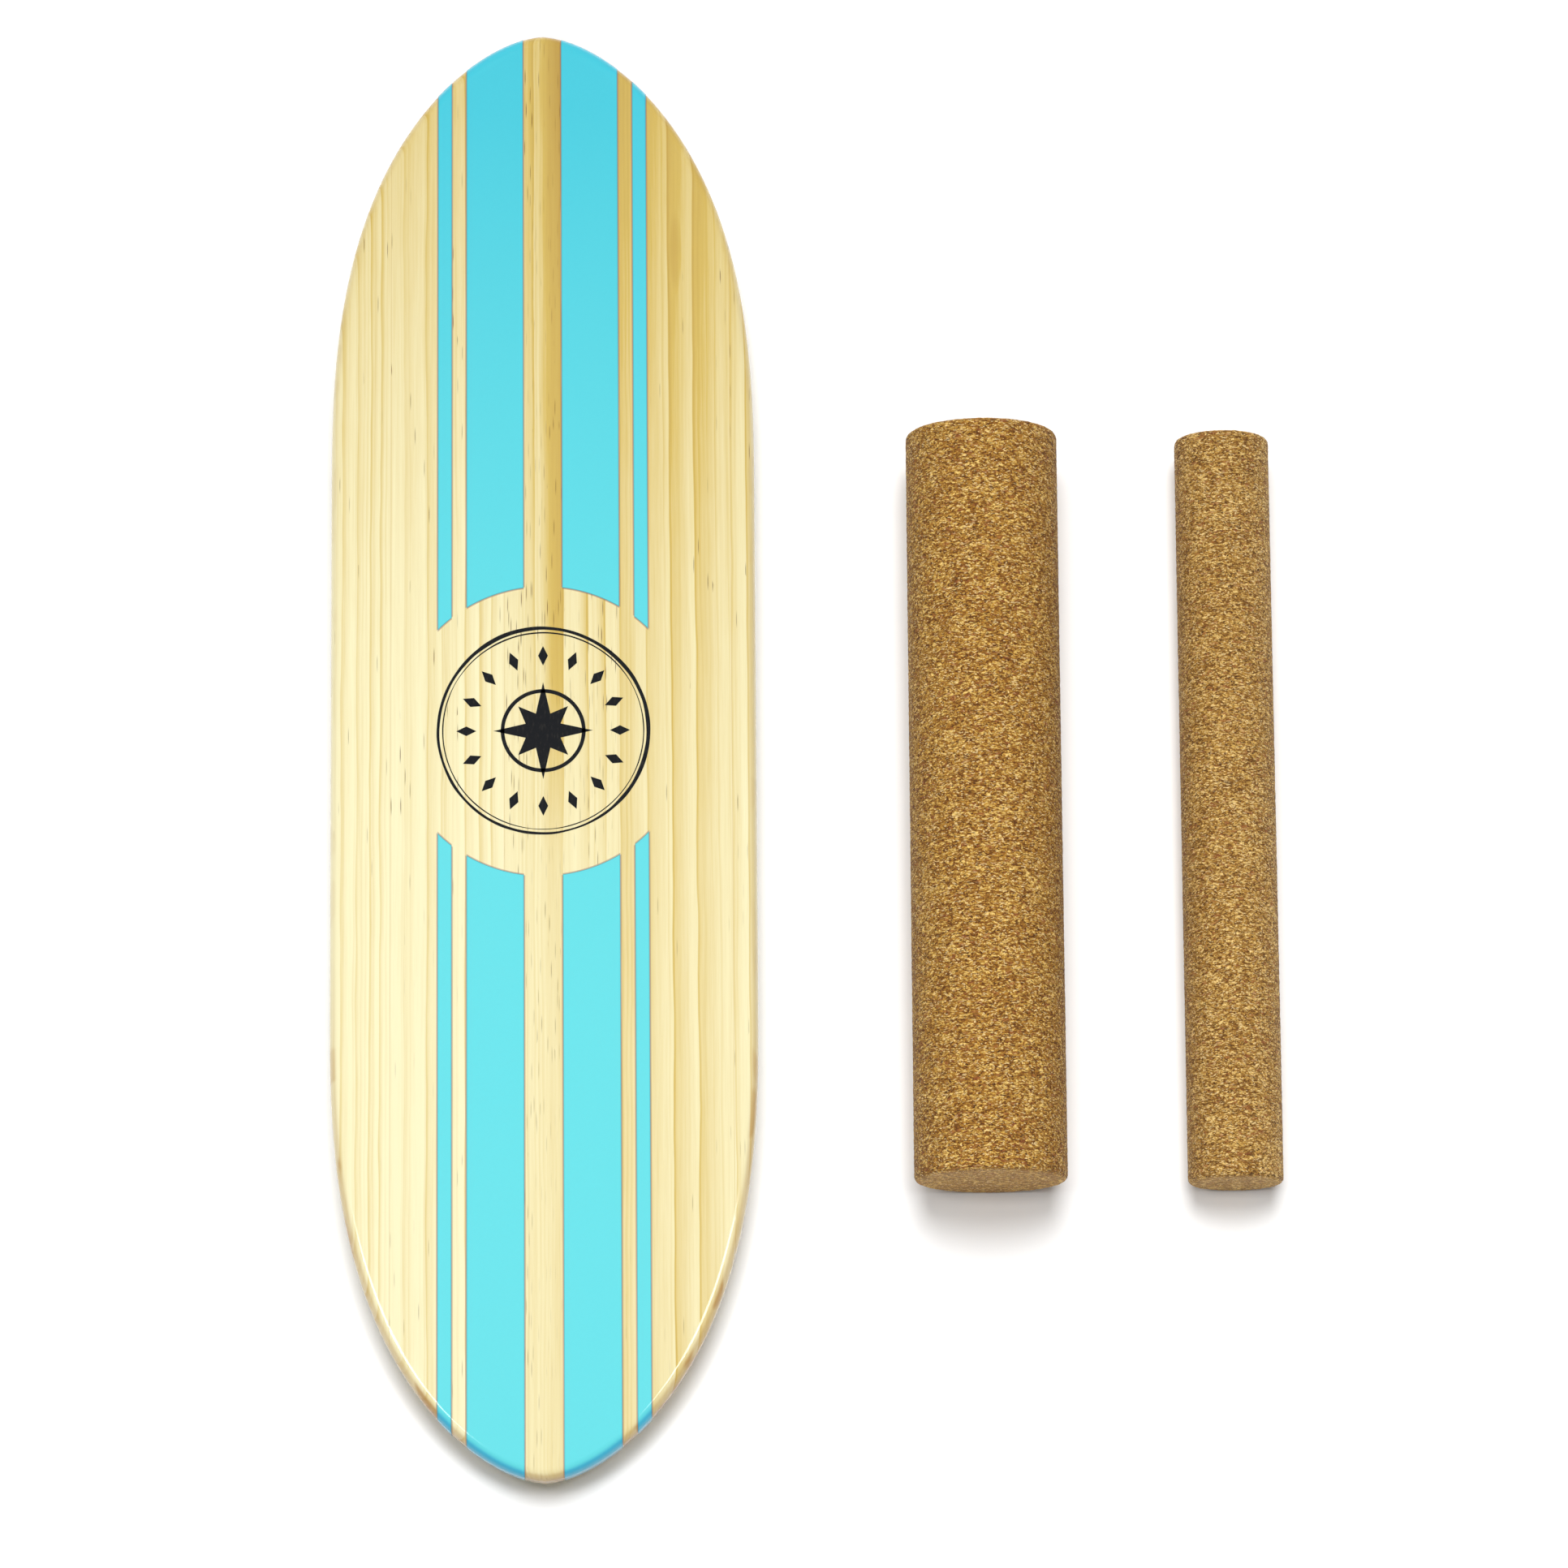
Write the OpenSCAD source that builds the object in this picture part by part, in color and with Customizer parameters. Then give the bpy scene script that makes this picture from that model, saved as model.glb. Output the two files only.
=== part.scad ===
// Roller balance board: a surf-shaped pine deck and two cork rollers laid out beside it.
// The deck lies on its two underside stops. In use it seesaws lengthways over one roller.
// X runs across the pieces, Y runs along the deck towards its nose, Z is up.
// The origin is on the floor under the middle of the layout.

/* [Deck] */
// Length from nose to tail
deck_l = 780; // [640:1:960]
// Width over the rails
deck_w = 225; // [190:1:275]
// Thickness of the pine panel
deck_t = 18; // [15:0.5:24]
// Length of each curved end
end_l = 250; // [200:1:310]
// Radius of the eased edges, top and bottom
edge_r = 5.5; // [2:0.5:7]

/* [Panel staves] */
// Width of the stave along the left rail
left_rail_w = 32; // [10:1:45]
// Width of the stave along the right rail
right_rail_w = 13; // [10:1:45]

/* [Stops] */
// Distance from each end of the deck to its stop's outer face
stop_inset = 55; // [45:1:80]
// Length of a stop, across the deck
stop_l = 130; // [110:1:150]
// Width of a stop, along the deck
stop_w = 20; // [16:1:30]
// Height of a stop, which lifts the deck off the floor
stop_h = 12; // [10:0.5:18]
// Chamfer along the stop's lower edges
stop_chamfer = 1; // [0.5:0.5:2]

/* [Stop screws] */
// Distance from a stop's end to its outer screw
screw_inset = 15; // [10:1:30]
// Depth that a screw reaches into the deck
screw_bite = 12.6; // [8:0.2:13]
// Shank diameter
screw_d = 4; // [3:0.5:5]
// Diameter of the countersunk head
screw_head_d = 8; // [6:0.5:10]
// Depth that the head sits below the stop's face
screw_sink = 0.6; // [0.3:0.1:1.5]

/* [Rollers] */
// Diameter of the large roller
large_d = 80; // [60:1:110]
// Diameter of the small roller
small_d = 50; // [36:1:60]
// Length of both rollers
roller_l = 400; // [300:1:480]
// Radius of the rollers' rims
rim_r = 3; // [1:0.5:6]

/* [Layout] */
// Gap between the deck's right rail and the large roller
deck_gap = 80; // [20:1:150]
// Gap between the two rollers
roller_gap = 63; // [20:1:150]
// Distance of the rollers' middles from the deck's middle, towards the nose
roller_y = -37; // [-100:1:100]

/* [Hidden] */
$fn = 64;

// Shape of the ends: half width = deck_w / 2 * (1 - u ^ end_power) ^ end_bluntness,
// where u runs from 0 at the start of the curved end to 1 at its tip
end_power = 2.7;
end_bluntness = 0.61;
end_steps = 20;      // outline points along a quarter of the deck
edge_steps = 4;      // facets round an eased edge
screw_fit = 0.15;    // radial clearance round a screw
screws_per_stop = 3;
eps = 0.01;

layout_w = deck_w + deck_gap + large_d + roller_gap + small_d;
deck_x = (deck_w - layout_w) / 2;
large_x = deck_x + deck_w / 2 + deck_gap + large_d / 2;
small_x = large_x + large_d / 2 + roller_gap + small_d / 2;
deck_top = stop_h + deck_t;
stop_y = deck_l / 2 - stop_inset - stop_w / 2;
stave_w = (deck_w - left_rail_w - right_rail_w) / 3;    // each of the three inner staves
joint_left = left_rail_w + stave_w - deck_w / 2;        // glue joint left of the centre stave
joint_right = joint_left + stave_w;
screw_l = stop_h - screw_sink + screw_bite;
screw_pitch = (stop_l - 2 * screw_inset) / (screws_per_stop - 1);
head_h = (screw_head_d - screw_d) / 2;                  // a 90 degree countersink
drive_l = 0.55 * screw_head_d;                          // cross recess: length of each arm pair
drive_w = 0.14 * screw_head_d;
drive_depth = 0.7 * head_h;

pine = [0.93, 0.86, 0.62];
pine_dark = [0.88, 0.78, 0.50];
steel = [0.72, 0.73, 0.75];
cork_warm = [0.69, 0.51, 0.25];
cork_pale = [0.71, 0.55, 0.31];

// One quarter of the outline: a is 0 at the widest part and 90 at the nose
function end_point(a) = [
    deck_w / 2 * pow(cos(a), 2 * end_bluntness),
    deck_l / 2 - end_l + end_l * pow(sin(a), 2 / end_power)
];

// The whole outline, anticlockwise, from the right rail by the nose and back by the tail
quarter = [for (i = [0:end_steps - 1]) end_point(90 * i / end_steps)];
nose_tip = [[0, deck_l / 2]];
outline = concat(
    quarter,
    nose_tip,
    [for (i = [end_steps - 1:-1:0]) [-quarter[i][0], quarter[i][1]]],
    [for (p = quarter) [-p[0], -p[1]]],
    -1 * nose_tip,
    [for (i = [end_steps - 1:-1:0]) [quarter[i][0], -quarter[i][1]]]
);

function unit(v) = v / norm(v);

// Outward normal of the outline at point i, from its two neighbours
function outward(i) =
    let (n = len(outline), d = unit(outline[(i + 1) % n] - outline[(i + n - 1) % n]))
    [d[1], -d[0]];

function inset_outline(inset) = [for (i = [0:len(outline) - 1]) outline[i] - inset * outward(i)];

// Rail profile as [inset, height] pairs, from the underside to the top face
rail_profile = concat(
    [for (i = [0:edge_steps])
        let (a = 90 * i / edge_steps) [edge_r * (1 - sin(a)), edge_r * (1 - cos(a))]],
    [for (i = [edge_steps:-1:0])
        let (a = 90 * i / edge_steps) [edge_r * (1 - sin(a)), deck_t - edge_r * (1 - cos(a))]]
);

// The shaped panel before it is parted into staves, with its underside at z = 0
module deck_blank() {
    rings = [for (p = rail_profile) [for (q = inset_outline(p[0])) [q[0], q[1], p[1]]]];
    n = len(outline);
    last = len(rings) - 1;
    walls = [for (k = [0:last - 1], i = [0:n - 1])
        let (j = (i + 1) % n) [k * n + i, (k + 1) * n + i, (k + 1) * n + j, k * n + j]];
    polyhedron(
        points = [for (r = rings, p = r) p],
        faces = concat(
            [[for (i = [0:n - 1]) i]],
            walls,
            [[for (i = [n - 1:-1:0]) last * n + i]]
        )
    );
}

// Places of a stop's screws across the deck
function screw_xs() = [for (i = [0:screws_per_stop - 1])
    screw_pitch * (i - (screws_per_stop - 1) / 2)];

// Puts children at each screw of one stop, in the deck's own frame
module at_stop_screws(side) {
    for (x = screw_xs()) translate([x, side * stop_y, 0]) children();
}

// Slab of the panel between two glue joints, in the deck's own frame
module stave(left, right) {
    translate([deck_x, 0, 0])
    difference() {
        intersection() {
            translate([0, 0, stop_h]) deck_blank();
            translate([left, -deck_l, 0]) cube([right - left, 2 * deck_l, 2 * deck_top]);
        }
        for (side = [-1, 1]) at_stop_screws(side)
            translate([0, 0, stop_h - eps])
                cylinder(d = screw_d + 2 * screw_fit, h = screw_bite + screw_fit + eps);
    }
}

module stave_left_rail() color(pine) stave(-deck_w, joint_left - stave_w);
module stave_left() color(pine) stave(joint_left - stave_w, joint_left);
module stave_centre() color(pine_dark) stave(joint_left, joint_right);
module stave_right() color(pine_dark) stave(joint_right, joint_right + stave_w);
module stave_right_rail() color(pine) stave(joint_right + stave_w, deck_w);

// Outline of a screw as turned: countersunk head below, shank with a short point above
module screw_profile(extra) {
    head_r = screw_head_d / 2 + extra;
    shank_r = screw_d / 2 + extra;
    cylinder(r1 = head_r, r2 = shank_r, h = head_h);
    cylinder(r = shank_r, h = screw_l - screw_d / 2);
}

module stop_bar(side) {
    translate([deck_x, 0, 0])
    difference() {
        intersection() {
            translate([-stop_l / 2, side * stop_y, 0])
                rotate([90, 0, 90])
                    linear_extrude(stop_l)
                        polygon([
                            [-stop_w / 2, stop_h], [-stop_w / 2, stop_chamfer],
                            [-stop_w / 2 + stop_chamfer, 0], [stop_w / 2 - stop_chamfer, 0],
                            [stop_w / 2, stop_chamfer], [stop_w / 2, stop_h]
                        ]);
            translate([0, side * stop_y, 0]) stop_plan();
        }
        at_stop_screws(side) {
            translate([0, 0, screw_sink]) screw_profile(screw_fit);
            translate([0, 0, -eps])
                cylinder(r = screw_head_d / 2 + screw_fit, h = screw_sink + 2 * eps);
        }
    }
}

// A stop seen from above: a bar with half-round ends
module stop_plan() {
    translate([-(stop_l - stop_w) / 2, -stop_w / 2, 0]) cube([stop_l - stop_w, stop_w, stop_h]);
    for (s = [-1, 1]) translate([s * (stop_l - stop_w) / 2, 0, 0]) cylinder(d = stop_w, h = stop_h);
}

module stop_screw() {
    difference() {
        union() {
            screw_profile(0);
            translate([0, 0, screw_l - screw_d / 2])
                cylinder(r1 = screw_d / 2, r2 = screw_d / 8, h = screw_d / 2);
        }
        for (a = [0, 90]) rotate(a)
            translate([-drive_l / 2, -drive_w / 2, -eps]) cube([drive_l, drive_w, drive_depth + eps]);
    }
}

module stop_screws(side) {
    translate([deck_x, 0, 0])
        at_stop_screws(side) translate([0, 0, screw_sink]) stop_screw();
}

module nose_stop() color(pine) stop_bar(1);
module tail_stop() color(pine) stop_bar(-1);
module nose_stop_screws() color(steel) stop_screws(1);
module tail_stop_screws() color(steel) stop_screws(-1);

// A cork cylinder with rounded rims, lying along Y on the floor
module roller(d, x) {
    translate([x, roller_y + roller_l / 2, d / 2])
    rotate([90, 0, 0])
    rotate_extrude() {
        square([d / 2 - rim_r, roller_l]);
        translate([0, rim_r]) square([d / 2, roller_l - 2 * rim_r]);
        for (y = [rim_r, roller_l - rim_r])
            intersection() {
                translate([d / 2 - rim_r, y]) circle(rim_r);
                square([d, roller_l]);
            }
    }
}

module large_roller() color(cork_warm) roller(large_d, large_x);
module small_roller() color(cork_pale) roller(small_d, small_x);

stave_left_rail();
stave_left();
stave_centre();
stave_right();
stave_right_rail();
nose_stop();
tail_stop();
nose_stop_screws();
tail_stop_screws();
large_roller();
small_roller();
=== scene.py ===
import math

import bmesh
import bpy
from mathutils import Matrix, Vector, noise


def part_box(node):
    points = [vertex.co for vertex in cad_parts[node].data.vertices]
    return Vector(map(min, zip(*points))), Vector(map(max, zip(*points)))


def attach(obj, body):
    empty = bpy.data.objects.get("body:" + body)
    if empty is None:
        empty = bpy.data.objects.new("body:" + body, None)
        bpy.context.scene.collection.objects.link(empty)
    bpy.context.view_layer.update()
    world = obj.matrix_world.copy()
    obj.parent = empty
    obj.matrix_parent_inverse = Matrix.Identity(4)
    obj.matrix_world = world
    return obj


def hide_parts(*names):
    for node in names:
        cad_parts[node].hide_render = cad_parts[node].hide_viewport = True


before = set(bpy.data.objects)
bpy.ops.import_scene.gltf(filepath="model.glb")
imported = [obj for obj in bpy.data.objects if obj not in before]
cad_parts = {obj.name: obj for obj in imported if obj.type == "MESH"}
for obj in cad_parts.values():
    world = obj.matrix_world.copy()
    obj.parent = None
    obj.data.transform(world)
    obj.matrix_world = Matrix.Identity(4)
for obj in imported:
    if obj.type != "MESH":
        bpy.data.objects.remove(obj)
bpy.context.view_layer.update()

staveNames = ["stave_left_rail", "stave_left", "stave_centre", "stave_right", "stave_right_rail"]
staveBoxes = [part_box(name) for name in staveNames]
deckLow = Vector([min(box[0][axis] for box in staveBoxes) for axis in range(3)])
deckHigh = Vector([max(box[1][axis] for box in staveBoxes) for axis in range(3)])
deckMiddle = (deckLow + deckHigh) / 2
glueJoints = [box[0].x for box in staveBoxes[1:]]

samePoint = 0.000002    # points closer than this are merged
sameLevel = 0.000001    # points this close in height lie at one level


# Small helpers for modelling

def pick(piece):
    if bpy.context.mode != "OBJECT":
        bpy.ops.object.mode_set(mode="OBJECT")
    bpy.ops.object.select_all(action="DESELECT")
    piece.select_set(True)
    bpy.context.view_layer.objects.active = piece


def newPiece(name):  # names the primitive that was just added and opens it in edit mode
    piece = bpy.context.active_object
    piece.name = name
    piece.data.name = name
    bpy.ops.object.mode_set(mode="EDIT")
    return piece


def choose(piece, kind, test):  # selects the elements of a piece in edit mode whose points pass a test
    bpy.ops.mesh.select_mode(type=kind)
    bpy.ops.mesh.select_all(action="DESELECT")
    shape = bmesh.from_edit_mesh(piece.data)
    items = {"VERT": shape.verts, "EDGE": shape.edges, "FACE": shape.faces}[kind]
    for item in items:
        points = [item.co] if kind == "VERT" else [corner.co for corner in item.verts]
        if test(points):
            item.select_set(True)
    shape.select_flush_mode()
    bmesh.update_edit_mesh(piece.data)


def duplicate(piece, name):
    pick(piece)
    bpy.ops.object.duplicate(linked=False)
    twin = bpy.context.active_object
    twin.name = name
    twin.data.name = name
    return twin


def cut(piece, place, direction, fill):  # keeps what lies against the direction of the cut
    pick(piece)
    bpy.ops.object.mode_set(mode="EDIT")
    bpy.ops.mesh.select_all(action="SELECT")
    bpy.ops.mesh.bisect(plane_co=place, plane_no=direction, use_fill=fill, clear_outer=True)
    bpy.ops.object.mode_set(mode="OBJECT")


def applied(piece, kind, **settings):
    pick(piece)
    modifier = piece.modifiers.new(kind.lower(), kind)
    for key, value in settings.items():
        setattr(modifier, key, value)
    bpy.ops.object.modifier_apply(modifier=modifier.name)


def carve(piece, tool):  # takes the tool's shape out of the piece
    applied(piece, "BOOLEAN", operation="DIFFERENCE", object=tool, solver="EXACT")
    bpy.data.objects.remove(tool)


def settle(piece, angle=30):  # normals outwards, place held in the mesh, soft shading
    pick(piece)
    bpy.ops.object.transform_apply(location=True, rotation=True, scale=True)
    bpy.ops.object.mode_set(mode="EDIT")
    bpy.ops.mesh.select_all(action="SELECT")
    bpy.ops.mesh.remove_doubles(threshold=samePoint)
    bpy.ops.mesh.normals_make_consistent(inside=False)
    bpy.ops.object.mode_set(mode="OBJECT")
    bpy.ops.object.shade_smooth_by_angle(angle=math.radians(angle))
    applied(piece, "WEIGHTED_NORMAL", mode="FACE_AREA", weight=100, keep_sharp=True)


def joined(pieces, name):
    pick(pieces[0])
    for piece in pieces[1:]:
        piece.select_set(True)
    bpy.ops.object.join()
    pieces[0].name = name
    pieces[0].data.name = name
    return pieces[0]


def fitOut(piece, body, slot, finish, *nodes):  # body, material and replaced nodes of a finished piece
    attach(piece, body)
    if nodes:
        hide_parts(*nodes)
    piece.data.materials.clear()
    piece.data.materials.append(finish)


# Shader helpers: a Wire is a socket that can be used in sums

class Wire:
    def __init__(self, finish, socket):
        self.finish = finish
        self.socket = socket

    def math(self, operation, *others, clamp=False):
        inputs = dict(enumerate((self,) + others))
        return self.finish.add("Math", dict(operation=operation, use_clamp=clamp), inputs)

    def __add__(self, other):
        return self.math("ADD", other)

    def __sub__(self, other):
        return self.math("SUBTRACT", other)

    def __mul__(self, other):
        return self.math("MULTIPLY", other)

    def __truediv__(self, other):
        return self.math("DIVIDE", other)

    def __pow__(self, other):
        return self.math("POWER", other)

    def __rsub__(self, other):
        return self.finish.add("Math", dict(operation="SUBTRACT"), {0: other, 1: self})

    def __abs__(self):
        return self.math("ABSOLUTE")

    __radd__ = __add__
    __rmul__ = __mul__

    def clamped(self):
        return self.math("ADD", 0.0, clamp=True)

    def ramp(self, low, high, start=0.0, end=1.0):  # smooth step from low to high
        settings = dict(interpolation_type="SMOOTHSTEP")
        return self.finish.add("MapRange", settings, {0: self, 1: low, 2: high, 3: start, 4: end})


class Finish:
    def __init__(self, tree):
        self.tree = tree
        tree.nodes.clear()

    def add(self, kind, settings=None, inputs=None, output=0):
        node = self.tree.nodes.new("ShaderNode" + kind)
        for key, value in (settings or {}).items():
            if key == "stops":
                band = node.color_ramp.elements
                while len(band) < len(value):
                    band.new(0.5)
                for stop, (place, colour) in zip(band, value):
                    stop.position = place
                    stop.color = (*colour, 1)
            else:
                setattr(node, key, value)
        for key, value in (inputs or {}).items():
            if isinstance(value, Wire):
                self.tree.links.new(value.socket, node.inputs[key])
            else:
                node.inputs[key].default_value = value
        return Wire(self, node.outputs[output]) if node.outputs else None

    def mix(self, share, first, second):
        values = {0: share, 6: opaque(first), 7: opaque(second)}
        return self.add("Mix", dict(data_type="RGBA", blend_type="MIX"), values, 2)

    def place(self, centre):  # object coordinates measured from a centre
        spot = self.add("TexCoord", output="Object")
        return self.add("Mapping", dict(vector_type="POINT"), {0: spot, 1: [-value for value in centre]})

    def stretched(self, spot, scale):
        return self.add("VectorMath", dict(operation="MULTIPLY"), {0: spot, 1: scale})

    def cloud(self, spot, scale, detail=2.0, roughness=0.5, seed=0.0):
        # soft noise from 0 to 1, four-dimensional so that seeds differ
        inputs = {
            "Vector": self.stretched(spot, scale), "W": seed, "Scale": 1.0,
            "Detail": detail, "Roughness": roughness}
        return self.add("TexNoise", dict(noise_dimensions="4D"), inputs, "Fac")

    def parts(self, spot):
        node = self.add("SeparateXYZ", inputs={0: spot}).socket.node
        return [Wire(self, socket) for socket in node.outputs]

    def bump(self, height, distance, strength=1.0):
        return self.add("Bump", None, {"Strength": strength, "Distance": distance, "Height": height})

    def surface(self, values):
        shader = self.add("BsdfPrincipled", None, values)
        self.add("OutputMaterial", None, {"Surface": shader})


def opaque(colour):
    return colour if isinstance(colour, Wire) else (*colour, 1)


def newFinish(name):
    material = bpy.data.materials.new(name)
    material.use_nodes = True
    return material, Finish(material.node_tree)


def shade(red, green, blue):  # a screen colour as linear light
    return tuple(
        ((value / 255 + 0.055) / 1.055) ** 2.4 if value > 10 else value / 3295
        for value in (red, green, blue))


# Deck panel

deck = dict(
    endLength=0.25, endPower=2.7, endBluntness=0.61,    # shape of the curved ends
    edgeRadius=0.0055, edgeSegments=7, quarterSteps=44,
    filmThickness=0.0002,                                # paint that stands on the wood
    edgeBlend=0.0006,                                    # flat ring between an eased edge and its face
)


def deckOutline(inset):
    halfWidth = (deckHigh.x - deckLow.x) / 2 - inset
    halfLength = (deckHigh.y - deckLow.y) / 2 - inset
    straight = halfLength - deck["endLength"]
    steps = deck["quarterSteps"]
    quarter = []
    for step in range(steps):
        angle = math.pi / 2 * step / steps
        quarter.append((
            halfWidth * math.cos(angle) ** (2 * deck["endBluntness"]),
            straight + deck["endLength"] * math.sin(angle) ** (2 / deck["endPower"])))
    nose = quarter + [(0.0, halfLength)] + [(-x, y) for x, y in reversed(quarter)]
    return nose + [(-x, -y) for x, y in nose]


def makeBlank():
    inset = deck["filmThickness"]
    outline = deckOutline(inset)
    low, high = deckLow.z, deckHigh.z - inset
    bpy.ops.object.select_all(action="DESELECT")
    bpy.ops.mesh.primitive_circle_add(
        vertices=len(outline), radius=0.1, fill_type="NGON", location=(deckMiddle.x, deckMiddle.y, low))
    blank = newPiece("deck_blank")
    bpy.ops.object.mode_set(mode="OBJECT")
    for vertex, (x, y) in zip(blank.data.vertices, outline):
        vertex.co = (x, y, 0)
    bpy.ops.object.transform_apply(location=True)
    bpy.ops.object.mode_set(mode="EDIT")
    bpy.ops.mesh.select_all(action="SELECT")
    bpy.ops.mesh.extrude_region_move(TRANSFORM_OT_translate={"value": (0, 0, high - low)})
    bpy.ops.mesh.select_all(action="SELECT")
    bpy.ops.mesh.normals_make_consistent(inside=False)
    choose(blank, "EDGE", lambda points: abs(points[0].z - points[1].z) < sameLevel)
    bpy.ops.mesh.bevel(
        offset=deck["edgeRadius"], segments=deck["edgeSegments"], affect="EDGES", clamp_overlap=False)
    for height in (low, high):  # a narrow flat ring keeps the broad faces shaded flat
        choose(blank, "FACE", lambda points: all(abs(point.z - height) < sameLevel for point in points))
        bpy.ops.mesh.inset(thickness=deck["edgeBlend"], depth=0)
    bpy.ops.object.mode_set(mode="OBJECT")
    return blank


def screwPlaces(node):  # middles of a stop's three screws
    low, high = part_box(node)
    headRadius = (high.y - low.y) / 2
    xs = [low.x + headRadius, (low.x + high.x) / 2, high.x - headRadius]
    return [Vector((x, (low.y + high.y) / 2, low.z)) for x in xs]


drillSides = 32


def drillTool(place, radius, low, high):
    bpy.ops.object.select_all(action="DESELECT")
    bpy.ops.mesh.primitive_cylinder_add(
        vertices=drillSides, radius=radius, depth=high - low,
        location=(place.x, place.y, (low + high) / 2))
    return bpy.context.active_object


pilot = dict(radius=0.00215, depth=0.01275, margin=0.001)    # margin: the drill starts this far outside


def makeStave(blank, index):
    stave = duplicate(blank, staveNames[index] + "_wood")
    if index > 0:
        cut(stave, (glueJoints[index - 1], 0, 0), (-1, 0, 0), True)
    if index < len(glueJoints):
        cut(stave, (glueJoints[index], 0, 0), (1, 0, 0), True)
    low, high = staveBoxes[index]
    for node in ("nose_stop_screws", "tail_stop_screws"):
        for place in screwPlaces(node):
            if low.x < place.x < high.x:
                bottom, top = deckLow.z - pilot["margin"], deckLow.z + pilot["depth"]
                carve(stave, drillTool(place, pilot["radius"], bottom, top))
    settle(stave)
    return stave


# Painted stripes

stripes = dict(
    broad=(0.0102, 0.0404), narrow=(0.0482, 0.0556),     # inner and outer edge, from the centre line
    lowerEdge=0.0022,                                     # paint's lower edge above the underside
    circleRadius=0.078, circleY=0.007,                    # bare disc round the emblem
    circleSteps=180, circleDepth=0.02,
    edgeSoftness=0.00007, edgeSegments=2, edgeAngle=50,   # eased edges of the film
    borderWidth=0.0005,                                   # painted shade along the paint's own edges
    shadeLineWidth=0.0008, shadeLineFade=0.0004,                  # painted shade line on the wood beside it
    maskBlend=0.0002, circleBlend=0.0006,
)


def makeStripes(blank, label, near, far):
    film = deck["filmThickness"]
    made = []
    for side, first, second in (("right", near, far), ("left", -far, -near)):
        strip = duplicate(blank, f"stripe_{label}_{side}")
        cut(strip, (0, 0, deckLow.z + stripes["lowerEdge"]), (0, 0, -1), False)
        cut(strip, (deckMiddle.x + first, 0, 0), (-1, 0, 0), False)
        cut(strip, (deckMiddle.x + second, 0, 0), (1, 0, 0), False)
        applied(strip, "SOLIDIFY", thickness=film, offset=1.0, use_even_offset=True)
        bpy.ops.object.select_all(action="DESELECT")
        bpy.ops.mesh.primitive_cylinder_add(
            vertices=stripes["circleSteps"], radius=stripes["circleRadius"], depth=stripes["circleDepth"],
            location=(deckMiddle.x, deckMiddle.y + stripes["circleY"], deckHigh.z))
        carve(strip, bpy.context.active_object)
        pick(strip)
        bpy.ops.mesh.separate(type="LOOSE")
        ends = list(bpy.context.selected_objects)
        for end in ends:
            isNose = sum(vertex.co.y for vertex in end.data.vertices) > 0
            end.name = f"stripe_{label}_{side}_{'nose' if isNose else 'tail'}"
            applied(
                end, "BEVEL", width=stripes["edgeSoftness"], segments=stripes["edgeSegments"],
                limit_method="ANGLE", angle_limit=math.radians(stripes["edgeAngle"]))
            settle(end)
        made += ends
    return made


# Emblem: three brushed rings, a ring of small marks and a plain compass star

emblem = dict(
    thickness=0.00006,
    broadStroke=1.3, fineStroke=5.0, fineShare=0.35,    # how the brush's pressure varies round a ring
    outerRing=(0.0544, 0.0562), innerRing=(0.0527, 0.0533),
    starLong=0.0262, starShort=0.0186, starWaist=0.0100,
    hubRing=(0.0204, 0.0224),
    markRadius=0.0405, markCount=16, markLength=0.0106, markWidth=0.0052,
)


def emblemCentre():
    return Vector((deckMiddle.x, deckMiddle.y + stripes["circleY"], deckHigh.z - deck["filmThickness"]))


def inkSheet(piece):  # gives flat ink its thickness
    bpy.ops.mesh.select_all(action="SELECT")
    bpy.ops.mesh.extrude_region_move(TRANSFORM_OT_translate={"value": (0, 0, emblem["thickness"])})
    bpy.ops.object.mode_set(mode="OBJECT")
    settle(piece)


def makeRing(name, inner, outer, wobble, seed, steps=240):
    bpy.ops.object.select_all(action="DESELECT")
    bpy.ops.mesh.primitive_circle_add(vertices=steps, radius=inner, location=emblemCentre())
    ring = newPiece(name)
    bpy.ops.mesh.select_all(action="SELECT")
    bpy.ops.mesh.extrude_edges_move()
    grown = outer / inner
    bpy.ops.transform.resize(value=(grown, grown, 1), center_override=emblemCentre())
    bpy.ops.object.mode_set(mode="OBJECT")
    for vertex in ring.data.vertices:  # the brush presses harder in some places
        angle = math.atan2(vertex.co.y, vertex.co.x)
        outside = vertex.co.length > (inner + outer) / 2
        around = Vector((math.cos(angle), math.sin(angle), seed + (5.0 if outside else 0.0)))
        pressure = noise.noise(around * emblem["broadStroke"])
        pressure = pressure + emblem["fineShare"] * noise.noise(around * emblem["fineStroke"])
        vertex.co *= 1 + wobble * pressure / outer
    bpy.ops.object.mode_set(mode="EDIT")
    inkSheet(ring)
    return ring


def makeStar():
    bpy.ops.object.select_all(action="DESELECT")
    bpy.ops.mesh.primitive_circle_add(vertices=16, radius=1, fill_type="NGON", location=emblemCentre())
    star = newPiece("emblem_star")
    bpy.ops.object.mode_set(mode="OBJECT")
    for index, vertex in enumerate(star.data.vertices):
        tip = emblem["starShort"] if index % 4 else emblem["starLong"]
        reach = emblem["starWaist"] if index % 2 else tip
        angle = math.pi / 8 * index
        vertex.co = (reach * math.cos(angle), reach * math.sin(angle), 0)
    bpy.ops.object.mode_set(mode="EDIT")
    inkSheet(star)
    return star


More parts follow.
